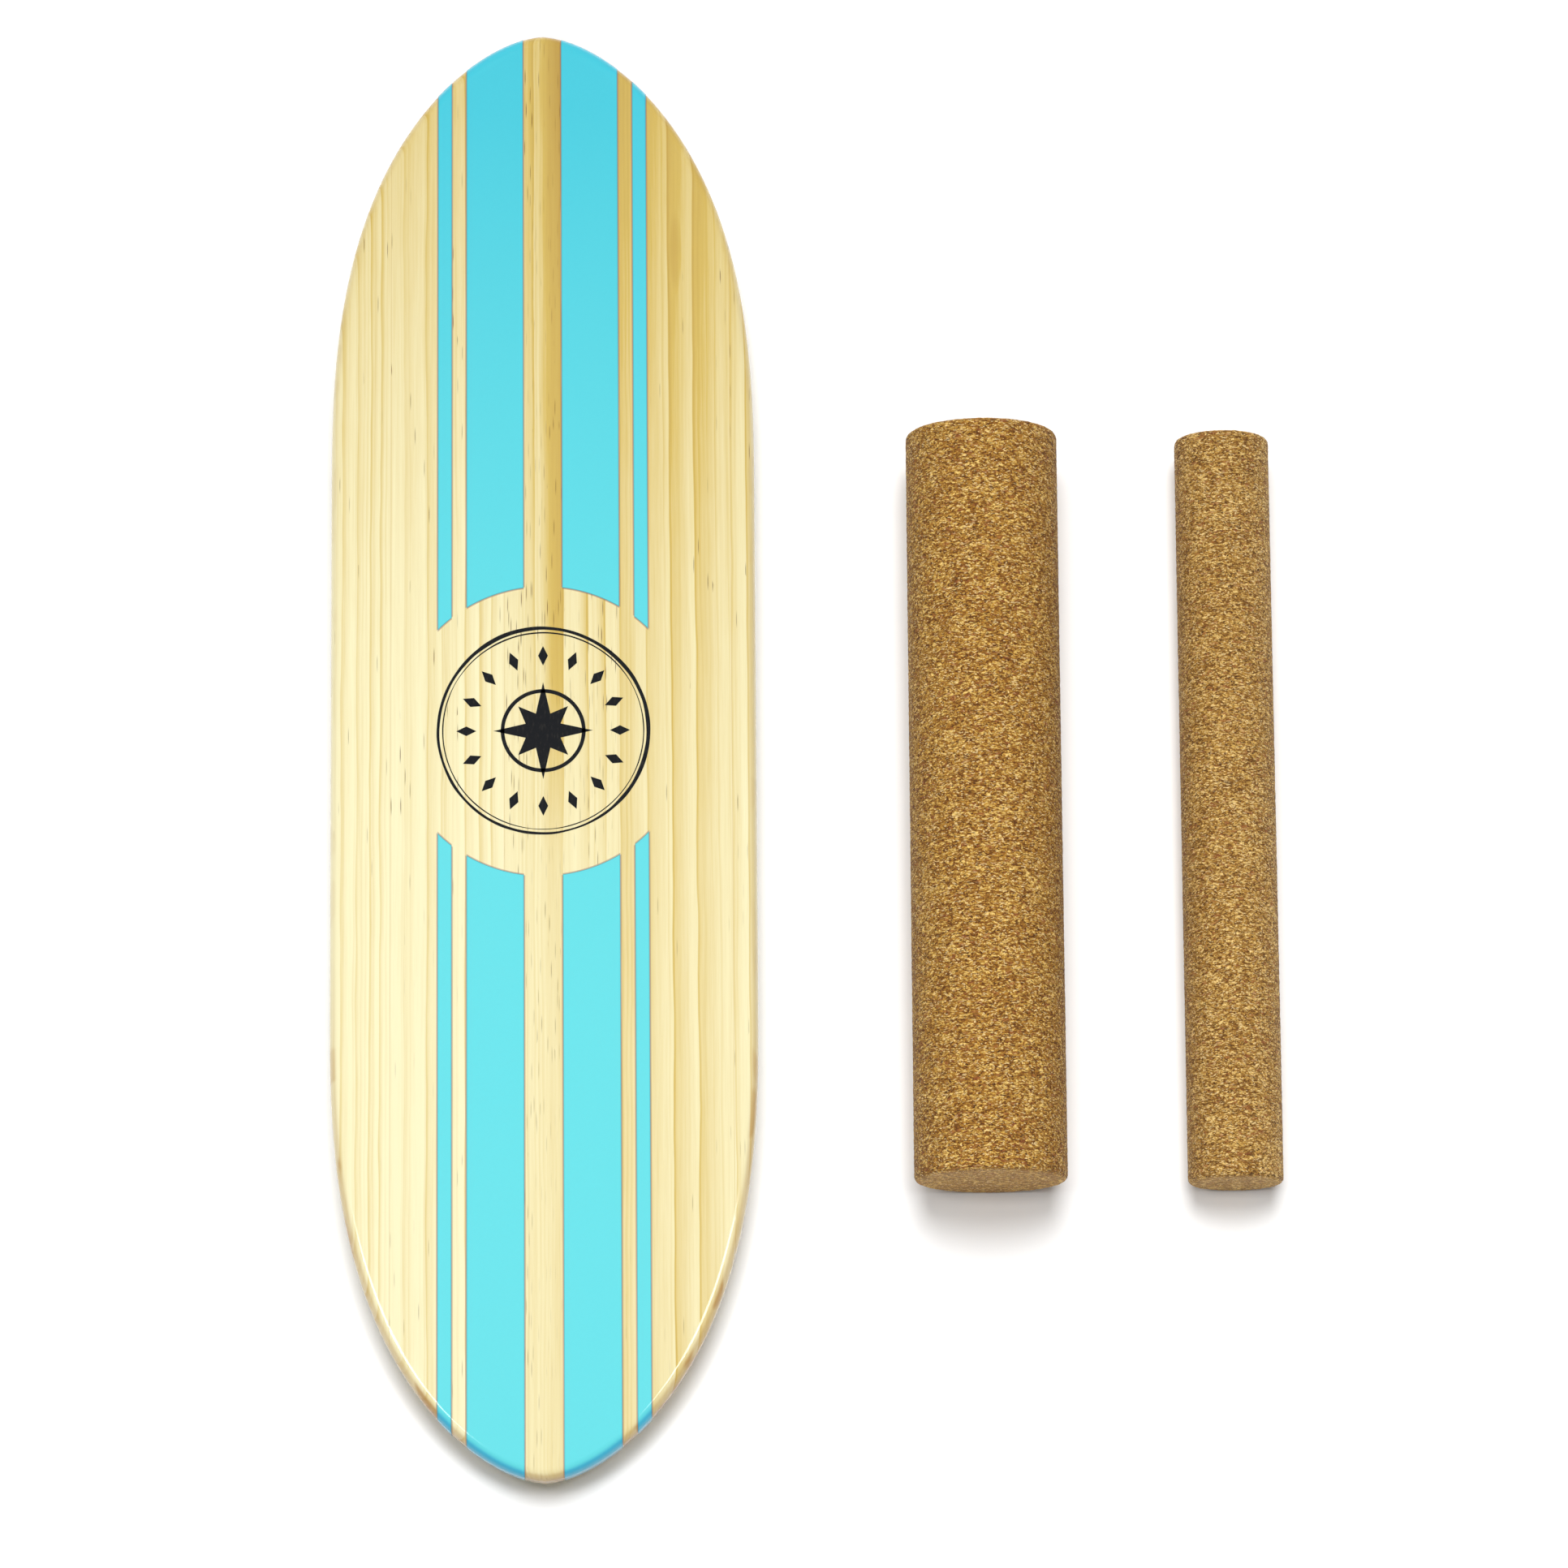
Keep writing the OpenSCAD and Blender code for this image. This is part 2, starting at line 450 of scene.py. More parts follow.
def makeMarks():
    centre = emblemCentre()
    marks = []
    bpy.ops.object.select_all(action="DESELECT")
    bpy.ops.mesh.primitive_circle_add(
        vertices=4, radius=1, fill_type="NGON", location=centre + Vector((emblem["markRadius"], 0, 0)))
    mark = newPiece("emblem_mark")
    bpy.ops.object.mode_set(mode="OBJECT")
    tip, side = emblem["markLength"] / 2, emblem["markWidth"] / 2
    corners = [(tip, 0), (0, -side), (-tip, 0), (0, side)]
    for vertex, corner in zip(mark.data.vertices, corners):
        vertex.co = (*corner, 0)
    bpy.ops.object.mode_set(mode="EDIT")
    inkSheet(mark)
    for index in range(1, emblem["markCount"]):
        twin = duplicate(mark, f"emblem_mark_{index}")
        turn = Matrix.Rotation(2 * math.pi * index / emblem["markCount"], 4, "Z")
        twin.data.transform(Matrix.Translation(centre) @ turn @ Matrix.Translation(-centre))
        marks.append(twin)
    whole = joined([mark] + marks, "emblem_marks")
    settle(whole)
    return whole


# Stops and their screws

stops = dict(
    endSegments=12, tipGap=1e-5, tipMerge=3e-5,          # half-round ends
    edgeSoftness=0.001, edgeSegments=4, footRing=0.0004,
    uprightEdge=0.005,                                   # edges that climb further than this are upright
    seatClearance=0.00015, drillMargin=0.001,
)
screws = dict(
    headRadius=0.004, shankRadius=0.002, headHeight=0.002, turnedSides=40,
    point=(0.55, 0.2),                                   # the point's two steps, as shares of the shank
    driveLength=0.0046, driveWidth=0.0011, driveDepth=0.0015, driveTaper=0.55, driveTurn=math.pi / 7,
)


def makeStop(name, screwNode):
    low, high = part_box(name)
    middle = (low + high) / 2
    bpy.ops.object.select_all(action="DESELECT")
    bpy.ops.mesh.primitive_cube_add(size=1, location=middle, scale=high - low)
    stop = newPiece(name + "_bar")
    bpy.ops.object.mode_set(mode="OBJECT")
    bpy.ops.object.transform_apply(location=True, scale=True)
    bpy.ops.object.mode_set(mode="EDIT")
    choose(stop, "EDGE", lambda points: abs(points[0].z - points[1].z) > stops["uprightEdge"])
    bpy.ops.mesh.bevel(
        offset=(high.y - low.y) / 2 - stops["tipGap"], segments=stops["endSegments"],
        affect="EDGES", clamp_overlap=False)
    bpy.ops.mesh.select_all(action="SELECT")
    bpy.ops.mesh.remove_doubles(threshold=stops["tipMerge"])  # the two rounds of an end meet at its tip
    choose(stop, "EDGE", lambda points: all(point.z < low.z + sameLevel for point in points))
    bpy.ops.mesh.bevel(offset=stops["edgeSoftness"], segments=stops["edgeSegments"], affect="EDGES")
    choose(stop, "FACE", lambda points: all(point.z < low.z + sameLevel for point in points))
    bpy.ops.mesh.inset(thickness=stops["footRing"], depth=0)
    bpy.ops.object.mode_set(mode="OBJECT")
    shankHole = screws["shankRadius"] + stops["seatClearance"]
    headHole = screws["headRadius"] + stops["seatClearance"]
    bottom, top = low.z - stops["drillMargin"], high.z + stops["drillMargin"]
    depth = screws["headHeight"]
    for place in screwPlaces(screwNode):
        carve(stop, drillTool(place, shankHole, bottom, top))
        carve(stop, drillTool(place, headHole, bottom, place.z))
        bpy.ops.object.select_all(action="DESELECT")
        bpy.ops.mesh.primitive_cone_add(
            vertices=drillSides, radius1=headHole, radius2=shankHole, depth=depth,
            location=(place.x, place.y, place.z + depth / 2))
        carve(stop, bpy.context.active_object)
    settle(stop)
    return stop


def makeScrew(place, top):  # turned from its profile: countersunk head, neck, shank, point
    neck, head, headHeight = screws["shankRadius"], screws["headRadius"], screws["headHeight"]
    centre = Vector(place)
    bpy.ops.object.select_all(action="DESELECT")
    bpy.ops.mesh.primitive_circle_add(
        vertices=screws["turnedSides"], radius=neck, fill_type="NGON",
        location=place + Vector((0, 0, headHeight)))
    screw = newPiece("stop_screw")
    bpy.ops.object.mode_set(mode="OBJECT")
    bpy.ops.object.transform_apply(location=True)
    bpy.ops.object.mode_set(mode="EDIT")
    bpy.ops.mesh.select_all(action="SELECT")
    shank = top - place.z - headHeight - neck
    bpy.ops.mesh.extrude_region_move(TRANSFORM_OT_translate={"value": (0, 0, shank)})
    for share in screws["point"]:
        bpy.ops.mesh.extrude_region_move(TRANSFORM_OT_translate={"value": (0, 0, neck / 2)})
        bpy.ops.transform.resize(value=(share, share, 1), center_override=centre)
    under = place.z + headHeight
    choose(screw, "FACE", lambda points: len(points) > 4 and abs(points[0].z - under) < 1e-7)
    rings = [  # how far each ring of the head drops, and its radius
        (-headHeight + 0.0002, head * 0.985), (-0.00012, head), (-0.00008, head * 0.97), (0.0, head * 0.62)]
    radius = neck
    for drop, grown in rings:
        bpy.ops.mesh.extrude_region_move(TRANSFORM_OT_translate={"value": (0, 0, drop)})
        share = grown / radius
        bpy.ops.transform.resize(value=(share, share, 1), center_override=centre)
        radius = grown
    bpy.ops.object.mode_set(mode="OBJECT")
    settle(screw)
    driveSize = (screws["driveLength"], screws["driveWidth"], 2 * screws["driveDepth"])
    for turn in (0, math.pi / 2):  # the cross recess
        bpy.ops.object.select_all(action="DESELECT")
        bpy.ops.mesh.primitive_cube_add(size=1, location=centre, scale=driveSize)
        tool = bpy.context.active_object
        bpy.ops.object.transform_apply(location=True, scale=True)
        turned = Matrix.Rotation(turn + screws["driveTurn"], 4, "Z")
        tool.data.transform(Matrix.Translation(centre) @ turned @ Matrix.Translation(-centre))
        for vertex in tool.data.vertices:  # the recess narrows as it goes in
            if vertex.co.z > centre.z:
                vertex.co.x = centre.x + (vertex.co.x - centre.x) * screws["driveTaper"]
                vertex.co.y = centre.y + (vertex.co.y - centre.y) * screws["driveTaper"]
        carve(screw, tool)
    settle(screw)
    return screw


def makeScrews(node):
    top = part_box(node)[1].z
    places = screwPlaces(node)
    first = makeScrew(places[0], top)
    copies = []
    for place in places[1:]:
        twin = duplicate(first, "stop_screw_copy")
        twin.data.transform(Matrix.Translation(place - places[0]))
        copies.append(twin)
    return joined([first] + copies, node + "_set")


# Cork rollers

rollers = dict(
    sides=dict(large_roller=200, small_roller=128),
    rimRadius=0.003, rimSegments=4, lengthCuts=(17, 17), endRing=0.0016,
    granule=0.0026, granuleLie=1.5, granuleSlope=2.2, granuleDepth=0.00022,
    pitSize=0.0014, pitLie=1.4, pitStart=0.25, pitDepth=0.00030,    # lie: squeezed along the roller
)


def makeRoller(name):
    low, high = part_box(name)
    middle = (low + high) / 2
    radius, length = (high.z - low.z) / 2, high.y - low.y
    bpy.ops.object.select_all(action="DESELECT")
    bpy.ops.mesh.primitive_cylinder_add(
        vertices=rollers["sides"][name], radius=radius, depth=length, end_fill_type="NGON",
        location=middle, rotation=(math.pi / 2, 0, 0))
    roller = newPiece(name + "_cork")
    bpy.ops.object.mode_set(mode="OBJECT")
    bpy.ops.object.transform_apply(location=True, rotation=True, scale=True)
    bpy.ops.object.mode_set(mode="EDIT")
    choose(roller, "EDGE", lambda points: abs(points[0].y - points[1].y) < sameLevel)
    bpy.ops.mesh.bevel(offset=rollers["rimRadius"], segments=rollers["rimSegments"], affect="EDGES")
    for number in rollers["lengthCuts"]:
        choose(roller, "EDGE", lambda points: abs(points[0].y - points[1].y) > rollers["rimRadius"] / 2)
        bpy.ops.mesh.subdivide(number_cuts=number)
    rings = int((radius - rollers["rimRadius"]) / rollers["endRing"])
    for end in (low.y, high.y):
        choose(roller, "FACE", lambda points: len(points) > 4 and abs(points[0].y - end) < sameLevel)
        for ring in range(rings - 1):
            bpy.ops.mesh.inset(thickness=rollers["endRing"], depth=0)
    bpy.ops.object.mode_set(mode="OBJECT")
    bpy.ops.object.shade_smooth()
    for vertex, normal in [(vertex, vertex.normal.copy()) for vertex in roller.data.vertices]:
        x, y, z = vertex.co
        cells = noise.voronoi(Vector((x, y * rollers["granuleLie"], z)) / rollers["granule"])[0]
        rise = min(1.0, (cells[1] - cells[0]) * rollers["granuleSlope"])
        pit = noise.noise(Vector((x, y * rollers["pitLie"], z)) / rollers["pitSize"]) - rollers["pitStart"]
        sunk = (1 - rise) * rollers["granuleDepth"] + max(0.0, pit) * rollers["pitDepth"]
        vertex.co = vertex.co - normal * sunk
    return roller


# Finishes

# Growth bands lie at a distance from the deck's centre line, in millimetres: edge, depth of tone, and width.
# A band fades to the right of its edge; with a negative width it fades to the left.
# A fourth number is the share of the tone that the band keeps just behind its edge.
grain = dict(
    stave_left_rail=dict(seed=3.1, ground=0.03, lean=0.5, resin=0.10, bands=(
        (-106.5, 0.36, 5), (-98.5, 0.34, 5), (-91.5, 0.40, 4), (-86.0, 0.42, 3))),
    stave_left=dict(seed=7.7, ground=0.05, lean=0.9, resin=0.24, bands=(
        (-73.0, 0.26, 8), (-61.0, 0.46, 7), (-53.5, 0.36, 9),
        (-41.0, 0.44, 6), (-33.5, 0.52, 5), (-27.5, 0.44, 4))),
    stave_centre=dict(seed=12.4, ground=0.20, lean=-0.6, resin=1.4, fades=True, bands=(
        (-4.6, 0.56, -6), (9.9, 1.0, -12, 0.93), (23.6, 0.92, -6), (32.6, 0.88, -5))),
    stave_right=dict(seed=21.9, ground=0.24, lean=0.5, resin=0.14, bands=(
        (40.0, 0.72, 13), (54.2, 0.66, 12), (67.2, 0.90, 11), (80.6, 0.86, 13), (97.0, 0.3, 3))),
    stave_right_rail=dict(seed=33.3, ground=0.12, lean=0.8, resin=0.25, bands=(
        (99.8, 0.50, 5), (108.0, 0.55, 6))),
)
bandMargin = 16       # millimetres of plain wood beyond the outer bands
fineRing = 0.0021     # width of the finer rings
grainNoise = dict(    # waves in a metre across, along and through the board
    wander=(10, 2.4, 10), waver=(70, 16, 70),            # slow and quick bends of the bands
    ringDrift=(30, 1.2, 30), alive=(45, 2.0, 45),        # the rings' drift and their strength
    streaks=(520, 11, 520), fibres=(2200, 60, 2200),
    blotches=(60, 34, 60), haze=(30, 30, 30),
)
wanderReach = 0.0050  # how far the slow bends push a band
waverReach = 0.0026   # how far the quick bends push it
resinCanals = dict(
    cells=(400, 34, 400), bend=(700, 90, 700), bendReach=0.12,
    halfWidth=(0.04, 0.13), halfLength=(0.03, 0.20),     # solid and faded, as shares of a cell
    patches=(70, 9, 70), patchRamp=(0.44, 0.60),
)
glueWidth = 0.00022
fleck = dict(x=0.071, y=0.268, width=0.0030, length=0.020, depth=0.30)    # from the deck's middle
pine = dict(
    pale=(0.800, 0.742, 0.468), dark=(0.592, 0.428, 0.108), deep=(0.40, 0.235, 0.045),
    resin=shade(100, 64, 26), glue=shade(186, 146, 82),
    # first tone: soaked end grain together with painted shade on the walls
    # second tone: painted shade beside the paint's edges
    soakAndShade=shade(170, 124, 60), darkening=shade(150, 106, 100),
)
lacquer = dict(roughness=0.42, specular=0.12, coatWeight=1.0, coatRoughness=0.09)


def bandStops(bands, ground, low, high):  # tone along a line across the grain, as ramp stops
    marks = []
    for edge, depth, width, *rest in bands:
        body = rest[0] if rest else 0.62  # share of the tone kept just behind the edge
        thin = 1 / abs(width)
        steps = (-0.22 * thin, 0.0), (0.22 * thin, 1.28), (1.2 * thin, body), (0.5, body ** 2), (1.0, 0.0)
        for share, strength in steps:
            marks.append((edge + share * width, ground + (depth - ground) * strength))
    marks.sort()
    return [((place - low) / (high - low), (tone, tone, tone)) for place, tone in marks if low < place < high]


def pineTone(finish, spot, wood, scale=1.0):  # share of dark late wood in planed pine
    x, y, z = finish.parts(spot)
    seed = wood["seed"]
    wander = finish.cloud(spot, grainNoise["wander"], 2.0, 0.5, seed) - 0.5
    waver = finish.cloud(spot, grainNoise["waver"], 2.0, 0.5, seed + 1) - 0.5
    across = x - z * wood["lean"] + wander * (wanderReach * scale) + waver * waverReach
    if "bands" in wood:
        low, high = wood["bands"][0][0] - bandMargin, wood["bands"][-1][0] + bandMargin
        place = (across * 1000 - low) / (high - low)
        rampStops = bandStops(wood["bands"], wood["ground"], low, high)
        tone = finish.add("ValToRGB", dict(stops=rampStops), {0: place})
        late = tone - wood["ground"]
        if "fades" in wood:  # this stave's bands are faint towards the tail
            late = late * y.ramp(-0.10, 0.09, 0.25, 1.0)
        late = late + wood["ground"]
    else:
        share = (across / wood["ringWidth"]).math("FRACT")
        late = ((1 - share) ** 1.8) * share.ramp(0.0, 0.06) * 0.7 + wood["ground"]
    # finer rings inside the bands, each with its own depth
    fine = across / fineRing + finish.cloud(spot, grainNoise["ringDrift"], 1.0, 0.5, seed + 2) * 3.0
    ring = fine.math("FLOOR") + seed * 3
    chance = finish.add("TexWhiteNoise", dict(noise_dimensions="1D"), {"W": ring}, "Value")
    share = fine.math("FRACT")
    fineLate = ((1 - share) ** 1.5) * share.ramp(0.0, 0.2) * (chance ** 2.2)
    alive = finish.cloud(spot, grainNoise["alive"], 2.0, 0.6, seed + 4)
    late = late * (alive * 0.9 + 0.68) + fineLate * (alive * 0.62)
    streaks = finish.cloud(spot, grainNoise["streaks"], 3.0, 0.65, seed + 5) - 0.5
    fibres = finish.cloud(spot, grainNoise["fibres"], 2.0, 0.6, seed + 6) - 0.5
    return late + streaks * 0.50 + fibres * 0.22


def resinDashes(finish, spot, wood):  # resin canals: short dark dashes along the grain
    cells = finish.stretched(spot, resinCanals["cells"])
    common = {"Vector": cells, "Scale": 1.0, "Randomness": 1.0}
    point = finish.add("TexVoronoi", dict(feature="F1"), common, "Position")
    odds = finish.parts(finish.add("TexVoronoi", dict(feature="F1"), common, "Color"))
    gap = finish.parts(finish.add("VectorMath", dict(operation="SUBTRACT"), {0: cells, 1: point}))
    bend = finish.cloud(spot, resinCanals["bend"], 1.0, 0.5, 3.0) - 0.5
    thin = abs(gap[0] + bend * resinCanals["bendReach"]).ramp(*resinCanals["halfWidth"], 1.0, 0.0)
    dash = thin * abs(gap[1]).ramp(*resinCanals["halfLength"], 1.0, 0.0)
    patch = finish.cloud(spot, resinCanals["patches"], 1.0, 0.5, wood["seed"] + 8)
    patch = patch.ramp(*resinCanals["patchRamp"])
    chosen = (odds[0] - (1 - 0.55 * wood["resin"])).math("GREATER_THAN", 0.0)
    return dash * chosen * (patch * 0.75 + 0.25) * (odds[1] * 0.4 + 0.6)


def pineColour(finish, late, dash):
    tone = finish.mix(late.clamped(), pine["pale"], pine["dark"])
    tone = finish.mix((late - 0.9).clamped() * 0.8, tone, pine["deep"])
    return finish.mix(dash * 0.95, tone, pine["resin"])


def noseShade(y):  # painted shade: the tone deepens from the tail to the nose
    return ((y + 0.15) / 0.5).clamped() ** 2


def maskLines(x, y, width):  # 1 on the painted shapes' borders, 0 elsewhere
    line = None
    inside = None
    blend = stripes["maskBlend"]
    for near, far in (stripes["broad"], stripes["narrow"]):
        for place in (near, far):
            here = (abs(abs(x) - place) / width).ramp(0.5, 1.0, 1.0, 0.0)
            line = here if line is None else line.math("MAXIMUM", here)
        band = (abs(x) - near).ramp(-blend, blend) * (far - abs(x)).ramp(-blend, blend)
        inside = band if inside is None else inside + band
    radial = (x ** 2 + (y - stripes["circleY"]) ** 2).math("SQRT") - stripes["circleRadius"]
    rim = (abs(radial) / width).ramp(0.5, 1.0, 1.0, 0.0) * inside
    return (line * radial.ramp(0.0, stripes["circleBlend"])).math("MAXIMUM", rim)


def tailWallShade(y):  # painted shade: walls darker, most of all at the tail
    return y.ramp(-0.27, -0.08, 1.0, 0.22)


def pineBoard(name):
    material, finish = newFinish("pine_" + name)
    wood = grain[name]
    spot = finish.place((deckMiddle.x, deckMiddle.y, deckHigh.z))
    x, y, z = finish.parts(spot)
    # painted shade: the wood darkens towards the nose
    late = pineTone(finish, spot, wood) + noseShade(y) * 0.64 - 0.07
    if name == "stave_right":  # a longish fleck of darker grain near the nose
        near = ((x - fleck["x"]) / fleck["width"]) ** 2 + ((y - fleck["y"]) / fleck["length"]) ** 2
        late = late + near.ramp(0.1, 1.6, fleck["depth"], 0.0)
    dash = resinDashes(finish, spot, wood) * y.ramp(-0.15, 0.05, 0.5, 1.0)
    tone = pineColour(finish, late, dash)
    # painted shade: a thin darker line beside the paint's edges, down to its lower edge
    belowPaint = deckLow.z - deckHigh.z + stripes["lowerEdge"]
    darkening = maskLines(x, y, stripes["shadeLineWidth"]) * z.ramp(belowPaint - stripes["shadeLineFade"], belowPaint)
    tone = finish.mix(darkening * 0.62, tone, pine["darkening"])
    for joint in glueJoints:  # glue lines
        line = (abs(x - (joint - deckMiddle.x)) / glueWidth).ramp(0.3, 1.0, 0.35, 0.0)
        tone = finish.mix(line, tone, pine["glue"])
    # end grain drinks more lacquer and reads darker on both ends; the walls get painted shade, most of all at
    # the tail
    facing = finish.parts(finish.add("TexCoord", output="Normal"))
    endGrain = abs(facing[1]).ramp(0.15, 0.9) * abs(facing[2]).ramp(0.15, 0.8, 1.0, 0.0)
    # painted shade on the walls, deepest at the tail and blotchy
    wallShade = abs(facing[2]).ramp(0.80, 0.995, 1.0, 0.0) * tailWallShade(y)
    soakAndShade = (late - 0.25).clamped() * 0.75
    blotch = finish.cloud(spot, grainNoise["blotches"], 1.0, 0.5, wood["seed"] + 11).ramp(0.52, 0.60)
    share = endGrain * (soakAndShade + 0.30) + wallShade * (blotch * 0.40 + 0.40)
    tone = finish.mix(share.clamped(), tone, pine["soakAndShade"])
    relief = (late * 0.35 + dash * -1.5).clamped()
    haze = finish.cloud(spot, grainNoise["haze"], 3.0, 0.55, 1.0)
    finish.surface({
        "Base Color": tone,
        "Roughness": haze * 0.12 + lacquer["roughness"], "Specular IOR Level": lacquer["specular"],
        "Normal": finish.bump(relief, 0.00003, 0.2),
        "Coat Weight": lacquer["coatWeight"], "Coat Roughness": lacquer["coatRoughness"]})
    return material


stopWood = dict(
    seed=41.0, ringWidth=0.005, ground=0.30, lean=0.8, resin=0.3, bend=0.5,
    endGrain=shade(160, 112, 52), scuffed=shade(150, 128, 96), scuffs=(90, 90, 90),
    roughness=0.48, coatWeight=0.15, coatRoughness=0.35,
)


def stopPine():
    material, finish = newFinish("pine_stop")
    spot = finish.place((deckMiddle.x, 0, 0))
    along = (0, 0, math.pi / 2)  # the grain runs along the bar
    turned = finish.add("Mapping", dict(vector_type="POINT"), {0: spot, 2: along})
    late = pineTone(finish, turned, stopWood, stopWood["bend"])
    dash = resinDashes(finish, turned, stopWood)
    tone = pineColour(finish, late, dash)
    facing = finish.parts(finish.add("TexCoord", output="Normal"))
    tone = finish.mix(abs(facing[0]).ramp(0.3, 0.95, 0.0, 0.4), tone, stopWood["endGrain"])
    scuff = finish.cloud(spot, stopWood["scuffs"], 4.0, 0.6, 5.0).ramp(0.55, 0.75)
    under = abs(facing[2]).ramp(0.6, 0.95)
    tone = finish.mix(scuff * under * 0.35, tone, stopWood["scuffed"])
    finish.surface({
        "Base Color": tone, "Roughness": scuff * 0.2 + stopWood["roughness"],
        "Normal": finish.bump(late, 0.00008, 0.4),
        "Coat Weight": stopWood["coatWeight"], "Coat Roughness": stopWood["coatRoughness"]})
    return material


blue = dict(
    # the nose's tone is the tail's tone with painted shade
    tail=(0.114, 0.612, 0.652), nose=(0.055, 0.515, 0.625), drift=(0.05, 0.60, 0.76),
    # the next tones are painted shade: on the walls and rim, and along the paint's edges
    wallShade=(0.035, 0.36, 0.58), border=shade(72, 118, 132),
    rolled=(900, 700, 900), drifts=(12, 5, 12),          # the roller's texture and slow changes of tone
    roughness=0.34,
)


def stripePaint():
    material, finish = newFinish("stripe_paint")
    spot = finish.place((deckMiddle.x, deckMiddle.y, deckHigh.z))
    x, y, z = finish.parts(spot)
    rolled = finish.cloud(spot, blue["rolled"], 3.0, 0.6, 2.0)
    drift = finish.cloud(spot, blue["drifts"], 2.0, 0.5, 9.0)
    # painted shade: the paint darkens towards the nose
    tone = finish.mix(noseShade(y), blue["tail"], blue["nose"])
    tone = finish.mix((rolled * 0.4 + drift * 0.6 - 0.2).clamped() * 0.25, tone, blue["drift"])
    facing = finish.parts(finish.add("TexCoord", output="Normal"))
    # painted shade: darker on the walls, most of all at the tail, and on the rounded rim
    wallShade = abs(facing[2]).ramp(0.80, 0.995, 0.80, 0.0) * tailWallShade(y)
    rimShade = abs(facing[2]).ramp(0.40, 0.72, 0.68, 0.0)
    tone = finish.mix(wallShade.math("MAXIMUM", rimShade), tone, blue["wallShade"])
    # painted shade: a darker line along the paint's own edges
    tone = finish.mix(maskLines(x, y, stripes["borderWidth"]) * 0.6, tone, blue["border"])
    finish.surface({
        "Base Color": tone,
        "Roughness": rolled * 0.1 + blue["roughness"], "Specular IOR Level": lacquer["specular"],
        "Normal": finish.bump(rolled, 0.00002, 0.25),
        "Coat Weight": lacquer["coatWeight"], "Coat Roughness": lacquer["coatRoughness"]})
    return material


black = dict(fresh=(0.006, 0.007, 0.009), worn=(0.030, 0.027, 0.022), wear=(700, 240, 700), roughness=0.35)


def emblemInk():
    material, finish = newFinish("emblem_ink")
    spot = finish.place(emblemCentre())
    worn = finish.cloud(spot, black["wear"], 4.0, 0.65, 4.0)
    tone = finish.mix(worn.ramp(0.5, 0.8), black["fresh"], black["worn"])
    finish.surface({
        "Base Color": tone,
        "Roughness": worn * 0.2 + black["roughness"], "Specular IOR Level": lacquer["specular"],
        "Normal": finish.bump(worn, 0.00001, 0.3),
        "Coat Weight": lacquer["coatWeight"], "Coat Roughness": lacquer["coatRoughness"]})
    return material


grey = dict(
    bright=(0.56, 0.56, 0.58), dull=(0.36, 0.34, 0.32), roughness=0.24,
    brush=(1500, 1500, 1500), stains=(260, 260, 260),
)


def screwSteel():
    material, finish = newFinish("screw_steel")
    spot = finish.place((deckMiddle.x, 0, 0))
    brushed = finish.cloud(spot, grey["brush"], 3.0, 0.6, 6.0)
    darkening = finish.cloud(spot, grey["stains"], 4.0, 0.6, 7.0)
    tone = finish.mix(darkening.ramp(0.5, 0.75), grey["bright"], grey["dull"])
    finish.surface({
        "Base Color": tone, "Metallic": 1.0, "Roughness": brushed * 0.2 + grey["roughness"],
        "Normal": finish.bump(brushed, 0.00002, 0.4)})
    return material


cork = dict(
    large_roller=dict(seed=0.0, granule=0.0026, tones=(
        shade(92, 52, 14), shade(150, 98, 34), shade(188, 140, 54), shade(238, 202, 118))),
    small_roller=dict(seed=17.0, granule=0.0024, tones=(
        shade(98, 62, 24), shade(154, 108, 46), shade(194, 150, 70), shade(242, 208, 134))),
)
granules = dict(
    tonePlaces=(0.0, 0.36, 0.66, 1.0),                   # where the four tones lie from dark to pale
    squash=2.4,                                          # this much shorter along the roller
    bendReach=0.0030, bendScale=170.0, fineShare=0.45,   # waves that push them, fine beside coarse
    mottle=(1400, 2000, 1400), patches=(70, 70, 70),
    # the pale flake tone is a painted highlight
    flakeHighlight=shade(240, 210, 150), reddish=shade(146, 82, 48), speck=shade(58, 36, 18),
    # the end tone here is painted light on the roller's ends
    seam=shade(84, 50, 20), paintedEndLight=shade(214, 168, 92), roughness=0.74,
)


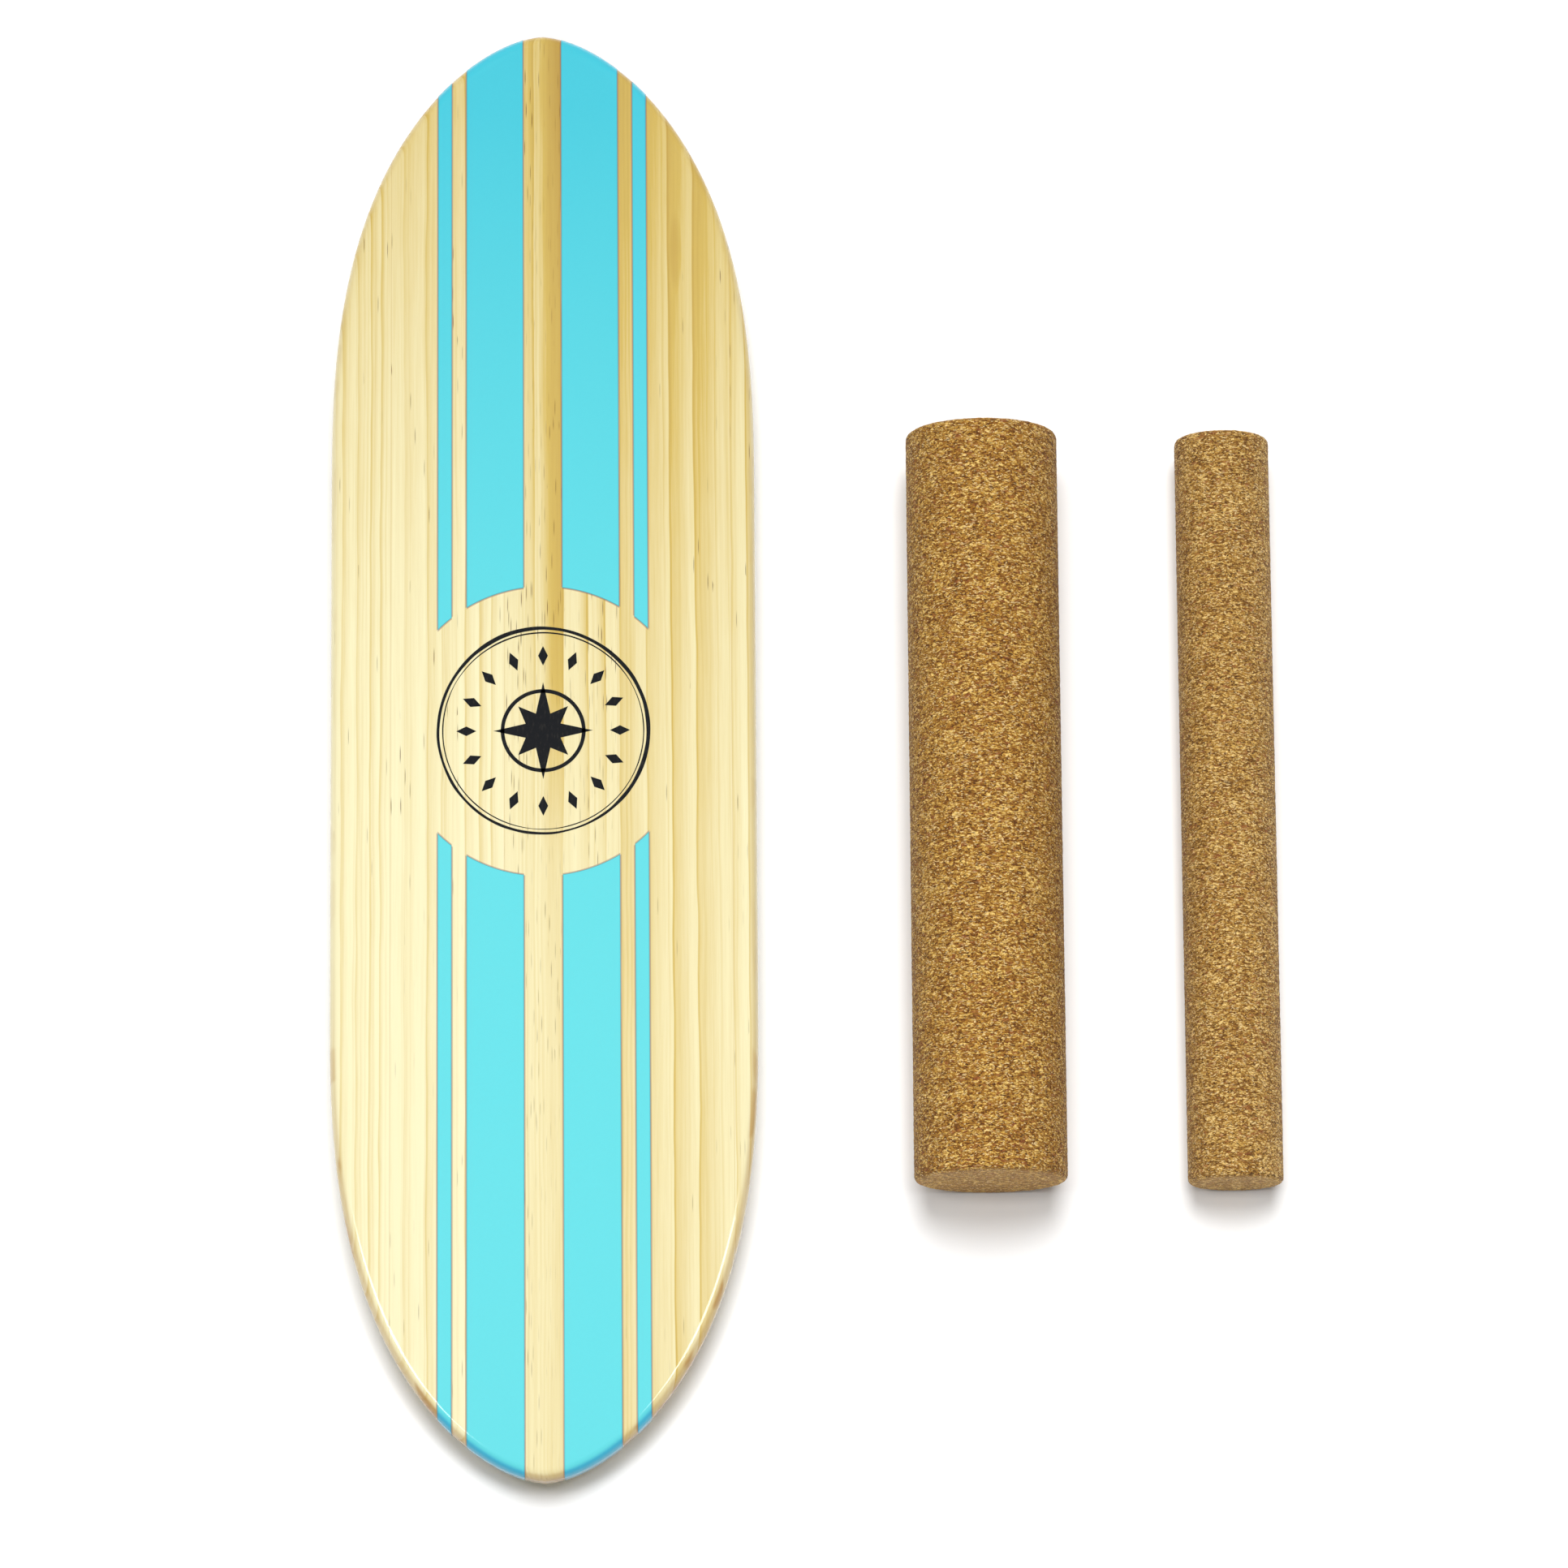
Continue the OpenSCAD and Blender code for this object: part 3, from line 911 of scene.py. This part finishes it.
def corkFinish(name):
    material, finish = newFinish("cork_" + name)
    kind = cork[name]
    low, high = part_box(name)
    spot = finish.place((low + high) / 2)
    size = kind["granule"]
    waves = {"Vector": spot, "Scale": granules["bendScale"], "Detail": 2.0}
    bend = finish.add("TexNoise", dict(noise_dimensions="3D"), waves, "Color")
    bend = finish.add("VectorMath", dict(operation="SUBTRACT"), {0: bend, 1: (0.5, 0.5, 0.5)})
    bend = finish.add("VectorMath", dict(operation="SCALE"), {0: bend, 3: granules["bendReach"]})
    bent = finish.add("VectorMath", dict(operation="ADD"), {0: spot, 1: bend})

    def scatter(width, seed):
        cells = finish.stretched(bent, (1 / width, granules["squash"] / width, 1 / width))
        common = {"Vector": cells, "W": seed, "Scale": 1.0, "Randomness": 1.0}
        nearest, border = (dict(voronoi_dimensions="4D", feature=kind) for kind in ("F1", "DISTANCE_TO_EDGE"))
        colour = finish.add("TexVoronoi", nearest, common, "Color")
        gap = finish.add("TexVoronoi", border, common, "Distance")
        return finish.parts(colour), gap

    coarse, coarseGap = scatter(size, kind["seed"])
    fine, fineGap = scatter(size * granules["fineShare"], kind["seed"] + 3)
    mottle = finish.cloud(spot, granules["mottle"], 3.0, 0.65, kind["seed"] + 1)
    patches = finish.cloud(spot, granules["patches"], 3.0, 0.5, kind["seed"] + 2)
    brightness = coarse[0] * 0.50 + fine[0] * 0.85 + mottle * 0.90 + patches * 0.30 - 0.80
    rampStops = list(zip(granules["tonePlaces"], kind["tones"]))
    tone = finish.add("ValToRGB", dict(stops=rampStops), {0: brightness.clamped()})
    # painted highlights: pale flakes on the cork
    flakeHighlight = (fine[1] - 0.90).math("GREATER_THAN", 0.0)
    tone = finish.mix(flakeHighlight * 0.75, tone, granules["flakeHighlight"])
    reddish = (coarse[2] - 0.93).math("GREATER_THAN", 0.0)
    tone = finish.mix(reddish * 0.5, tone, granules["reddish"])
    speck = (fine[2] - 0.91).math("GREATER_THAN", 0.0) * fineGap.ramp(0.02, 0.14)
    tone = finish.mix(speck * 0.85, tone, granules["speck"])
    seam = coarseGap.ramp(0.0, 0.10, 1.0, 0.0)
    tone = finish.mix(seam * 0.50, tone, granules["seam"])
    facing = finish.parts(finish.add("TexCoord", output="Normal"))
    paintedEndLight = abs(facing[1]).ramp(0.5, 0.95)
    tone = finish.mix(paintedEndLight * 0.22, tone, granules["paintedEndLight"])  # painted light: the roller's ends are paler
    height = coarseGap.ramp(0.0, 0.22) * 0.6 + fineGap.ramp(0.0, 0.25) * 0.35 + mottle * 0.4 - speck * 0.9
    normal = finish.bump(height, 0.00035, 0.75)
    finish.surface({"Base Color": tone, "Roughness": mottle * 0.15 + granules["roughness"], "Normal": normal})
    return material


# Build the object

blank = makeBlank()
print("deck blank shaped")
for index, name in enumerate(staveNames):
    fitOut(makeStave(blank, index), "deck", "pine_panel", pineBoard(name), name)
print("staves cut and lacquered")

paint = stripePaint()
for label in ("broad", "narrow"):
    for stripe in makeStripes(blank, label, *stripes[label]):
        fitOut(stripe, "deck", "stripe_paint", paint)
bpy.data.objects.remove(blank)
print("stripes painted")

ink = emblemInk()
for piece in (
    makeRing("emblem_outer_ring", *emblem["outerRing"], wobble=0.0007, seed=2.0),
    makeRing("emblem_inner_ring", *emblem["innerRing"], wobble=0.0003, seed=9.0),
    makeRing("emblem_hub_ring", *emblem["hubRing"], wobble=0.0001, seed=14.0, steps=120),
    makeStar(),
    makeMarks(),
):
    fitOut(piece, "deck", "emblem_ink", ink)
print("emblem printed")

bar, steel = stopPine(), screwSteel()
for name in ("nose_stop", "tail_stop"):
    fitOut(makeStop(name, name + "_screws"), "deck", "pine_stop", bar, name)
    fitOut(makeScrews(name + "_screws"), "deck", "screw_steel", steel, name + "_screws")
print("stops screwed on")

for name, slot in (("large_roller", "cork_large"), ("small_roller", "cork_small")):
    fitOut(makeRoller(name), name, slot, corkFinish(name), name)
print("rollers pressed")


# Studio

studio = dict(
    distance=4.2, tilt=12.0, roll=-0.48, lens=181.9, sensorWidth=36, clipEnd=100,
    aim=(-0.0098, -0.0165, 0.0),
    floorSize=40.0, floorColour=(0.97, 0.97, 0.97),
    dome=0.20,
    keyPlace=(0, 0.85, 2.2), keyEnergy=2.55, keySoftness=28,
    softboxSize=(0.36, 0.30), softboxSpread=0.425, softboxY=-0.24, softboxHeight=1.5, softboxEnergy=4.6,
)


def makeFloor():
    bpy.ops.object.select_all(action="DESELECT")
    bpy.ops.mesh.primitive_plane_add(size=studio["floorSize"], location=(0, 0, 0))
    floor = bpy.context.active_object
    floor.name = "studio_floor"
    material, finish = newFinish("studio_floor")
    finish.surface({"Base Color": opaque(studio["floorColour"]), "Roughness": 1.0, "Specular IOR Level": 0.0})
    floor.data.materials.append(material)


def makeDome():  # soft light from all round, dimmer overhead than near the horizon
    world = bpy.data.worlds.new("studio_dome")
    world.use_nodes = True
    bpy.context.scene.world = world
    dome = Finish(world.node_tree)
    heading = dome.add("TexCoord", output="Generated")
    x, y, z = dome.parts(heading)
    strength = z.ramp(0.75, 1.0, 1.0, 0.55) * z.ramp(0.10, 0.60, 2.2, 1.0) * studio["dome"]
    light = dome.add("Background", None, {0: (1, 1, 1, 1), 1: strength})
    dome.add("OutputWorld", None, {"Surface": light})


def addLight(name, kind, place, aim, energy, **settings):
    bpy.ops.object.select_all(action="DESELECT")
    direction = Vector(aim) - Vector(place)
    turn = direction.to_track_quat("-Z", "Y").to_euler()
    bpy.ops.object.light_add(type=kind, location=place, rotation=turn)
    lamp = bpy.context.active_object
    lamp.name = name
    lamp.data.energy = energy
    for key, value in settings.items():
        setattr(lamp.data, key, value)
    return lamp


def addTailSoftbox(name, x):  # draws the bright line along one side of the tail's crease
    width, depth = studio["softboxSize"]
    place = (x, studio["softboxY"], studio["softboxHeight"])
    aim = (x, studio["softboxY"], 0)
    addLight(name, "AREA", place, aim, studio["softboxEnergy"], shape="RECTANGLE", size=width, size_y=depth)


def addCamera():
    tilt, roll = math.radians(studio["tilt"]), math.radians(studio["roll"])
    aim = Vector(studio["aim"])
    place = aim + studio["distance"] * Vector((0, -math.sin(tilt), math.cos(tilt)))
    turn = (Matrix.Rotation(tilt, 3, "X") @ Matrix.Rotation(roll, 3, "Z")).to_euler()
    bpy.ops.object.select_all(action="DESELECT")
    bpy.ops.object.camera_add(location=place, rotation=turn)
    camera = bpy.context.active_object
    camera.name = "studio_camera"
    camera.data.lens = studio["lens"]
    camera.data.sensor_width = studio["sensorWidth"]
    camera.data.clip_end = studio["clipEnd"]
    bpy.context.scene.camera = camera


makeFloor()
makeDome()
keyAngle = math.radians(studio["keySoftness"])
key = addLight("soft_key", "SUN", studio["keyPlace"], (0, 0, 0), studio["keyEnergy"], angle=keyAngle)
key.visible_glossy = False  # keeps the key's reflection off the lacquer
addTailSoftbox("right_tail_softbox", deckMiddle.x + studio["softboxSpread"])
addTailSoftbox("left_tail_softbox", deckMiddle.x - studio["softboxSpread"])
addCamera()
bpy.context.scene.view_settings.view_transform = "Standard"
print("studio lit")
